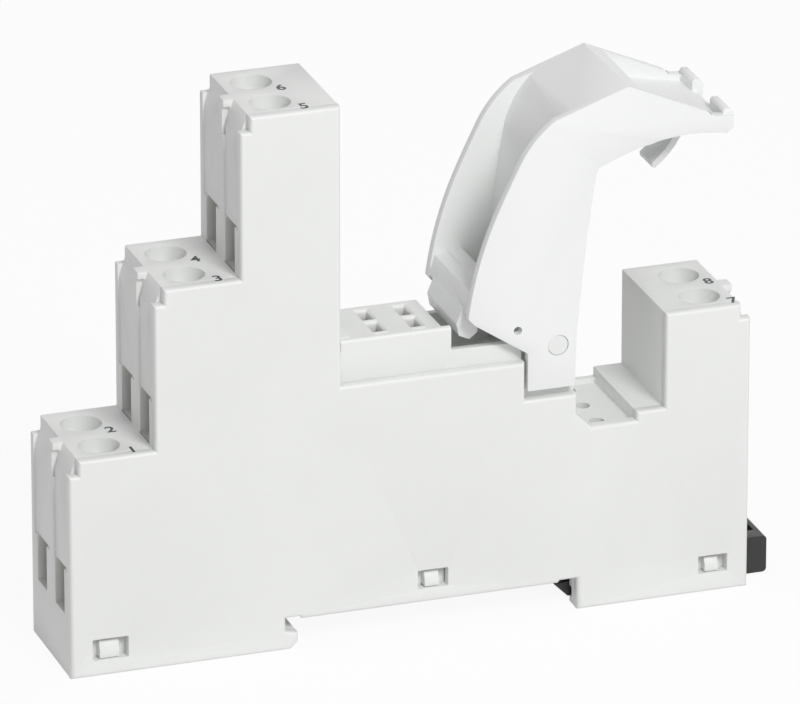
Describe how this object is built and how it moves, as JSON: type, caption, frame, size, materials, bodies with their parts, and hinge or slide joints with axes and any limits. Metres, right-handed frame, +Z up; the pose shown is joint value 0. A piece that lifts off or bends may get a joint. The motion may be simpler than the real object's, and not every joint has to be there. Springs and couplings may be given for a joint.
{
  "type": "relay socket",
  "caption": "Slim stepped relay socket for a 35 mm rail with screw clamp terminals, a slotted relay seat, a module well, a retaining lever and a sliding rail clip.",
  "frame": {"origin": "middle of the base on the plane of the feet, the black clip's tab included", "axes": "+X along the body towards the right tower and the clip's tab, +Y from the front cover to the back wall, +Z up from the feet"},
  "size_m": [0.0864, 0.0154, 0.0664],
  "materials": {
    "housing_plastic": "satin moulded plastic, pale grey white",
    "insert_plastic": "satin moulded plastic, pale grey",
    "lever_plastic": "satin moulded plastic, white",
    "black_plastic": "satin moulded plastic, black",
    "screw_steel": "bright zinc plate",
    "cage_steel": "zinc plate",
    "strip_brass": "stamped brass"
  },
  "bodies": {
    "socket_body": {"rear_housing": "housing_plastic", "front_cover": "housing_plastic", "middle_frame": "insert_plastic", "tower_divider": "insert_plastic", "contact_strip_1": "strip_brass", "contact_strip_2": "strip_brass", "contact_strip_3": "strip_brass", "contact_strip_4": "strip_brass", "contact_strip_5": "strip_brass", "contact_strip_6": "strip_brass", "coil_strip_1": "strip_brass", "coil_strip_2": "strip_brass"},
    "lever": {"retaining_clip": "lever_plastic"},
    "rail_latch": {"rail_clip": "black_plastic"},
    "screw_1": {"terminal_screw_1": "screw_steel"},
    "cage_1": {"clamp_cage_1": "cage_steel"},
    "screw_2": {"terminal_screw_2": "screw_steel"},
    "cage_2": {"clamp_cage_2": "cage_steel"},
    "screw_3": {"terminal_screw_3": "screw_steel"},
    "cage_3": {"clamp_cage_3": "cage_steel"},
    "screw_4": {"terminal_screw_4": "screw_steel"},
    "cage_4": {"clamp_cage_4": "cage_steel"},
    "screw_5": {"terminal_screw_5": "screw_steel"},
    "cage_5": {"clamp_cage_5": "cage_steel"},
    "screw_6": {"terminal_screw_6": "screw_steel"},
    "cage_6": {"clamp_cage_6": "cage_steel"},
    "screw_7": {"terminal_screw_7": "screw_steel"},
    "cage_7": {"clamp_cage_7": "cage_steel"},
    "screw_8": {"terminal_screw_8": "screw_steel"},
    "cage_8": {"clamp_cage_8": "cage_steel"}
  },
  "joints": [
    {"name": "lever_hinge", "type": "hinge", "parent": "socket_body", "child": "lever", "pos_m": [0.01595, 0, 0.0337], "axis": [0, 1, 0], "range_deg": [-18, 0]},
    {"name": "rail_clip_slide", "type": "slide", "parent": "socket_body", "child": "rail_latch", "axis": [1, 0, 0], "range_m": [0, 0.003], "stiffness_N_per_m": 800},
    {"name": "screw_turn_1", "type": "hinge", "parent": "socket_body", "child": "screw_1", "pos_m": [-0.03835, -0.00343, 0.023], "axis": [0, 0, -1], "range_deg": [0, 1440]},
    {"name": "cage_rise_1", "type": "slide", "parent": "socket_body", "child": "cage_1", "axis": [0, 0, 1], "range_m": [0, 0.002]},
    {"name": "screw_turn_2", "type": "hinge", "parent": "socket_body", "child": "screw_2", "pos_m": [-0.03835, 0.00343, 0.023], "axis": [0, 0, -1], "range_deg": [0, 1440]},
    {"name": "cage_rise_2", "type": "slide", "parent": "socket_body", "child": "cage_2", "axis": [0, 0, 1], "range_m": [0, 0.002]},
    {"name": "screw_turn_3", "type": "hinge", "parent": "socket_body", "child": "screw_3", "pos_m": [-0.02795, -0.00343, 0.0427], "axis": [0, 0, -1], "range_deg": [0, 1440]},
    {"name": "cage_rise_3", "type": "slide", "parent": "socket_body", "child": "cage_3", "axis": [0, 0, 1], "range_m": [0, 0.002]},
    {"name": "screw_turn_4", "type": "hinge", "parent": "socket_body", "child": "screw_4", "pos_m": [-0.02795, 0.00343, 0.0427], "axis": [0, 0, -1], "range_deg": [0, 1440]},
    {"name": "cage_rise_4", "type": "slide", "parent": "socket_body", "child": "cage_4", "axis": [0, 0, 1], "range_m": [0, 0.002]},
    {"name": "screw_turn_5", "type": "hinge", "parent": "socket_body", "child": "screw_5", "pos_m": [-0.01755, -0.00343, 0.0624], "axis": [0, 0, -1], "range_deg": [0, 1440]},
    {"name": "cage_rise_5", "type": "slide", "parent": "socket_body", "child": "cage_5", "axis": [0, 0, 1], "range_m": [0, 0.002]},
    {"name": "screw_turn_6", "type": "hinge", "parent": "socket_body", "child": "screw_6", "pos_m": [-0.01755, 0.00343, 0.0624], "axis": [0, 0, -1], "range_deg": [0, 1440]},
    {"name": "cage_rise_6", "type": "slide", "parent": "socket_body", "child": "cage_6", "axis": [0, 0, 1], "range_m": [0, 0.002]},
    {"name": "screw_turn_7", "type": "hinge", "parent": "socket_body", "child": "screw_7", "pos_m": [0.03485, -0.00343, 0.0318], "axis": [0, 0, -1], "range_deg": [0, 1440]},
    {"name": "cage_rise_7", "type": "slide", "parent": "socket_body", "child": "cage_7", "axis": [0, 0, 1], "range_m": [0, 0.002]},
    {"name": "screw_turn_8", "type": "hinge", "parent": "socket_body", "child": "screw_8", "pos_m": [0.03485, 0.00343, 0.0318], "axis": [0, 0, -1], "range_deg": [0, 1440]},
    {"name": "cage_rise_8", "type": "slide", "parent": "socket_body", "child": "cage_8", "axis": [0, 0, 1], "range_m": [0, 0.002]}
  ],
  "couplings": [
    {"joint": "screw_turn_1", "follows": "cage_rise_1", "rad_per_m": 12566},
    {"joint": "screw_turn_2", "follows": "cage_rise_2", "rad_per_m": 12566},
    {"joint": "screw_turn_3", "follows": "cage_rise_3", "rad_per_m": 12566},
    {"joint": "screw_turn_4", "follows": "cage_rise_4", "rad_per_m": 12566},
    {"joint": "screw_turn_5", "follows": "cage_rise_5", "rad_per_m": 12566},
    {"joint": "screw_turn_6", "follows": "cage_rise_6", "rad_per_m": 12566},
    {"joint": "screw_turn_7", "follows": "cage_rise_7", "rad_per_m": 12566},
    {"joint": "screw_turn_8", "follows": "cage_rise_8", "rad_per_m": 12566}
  ]
}
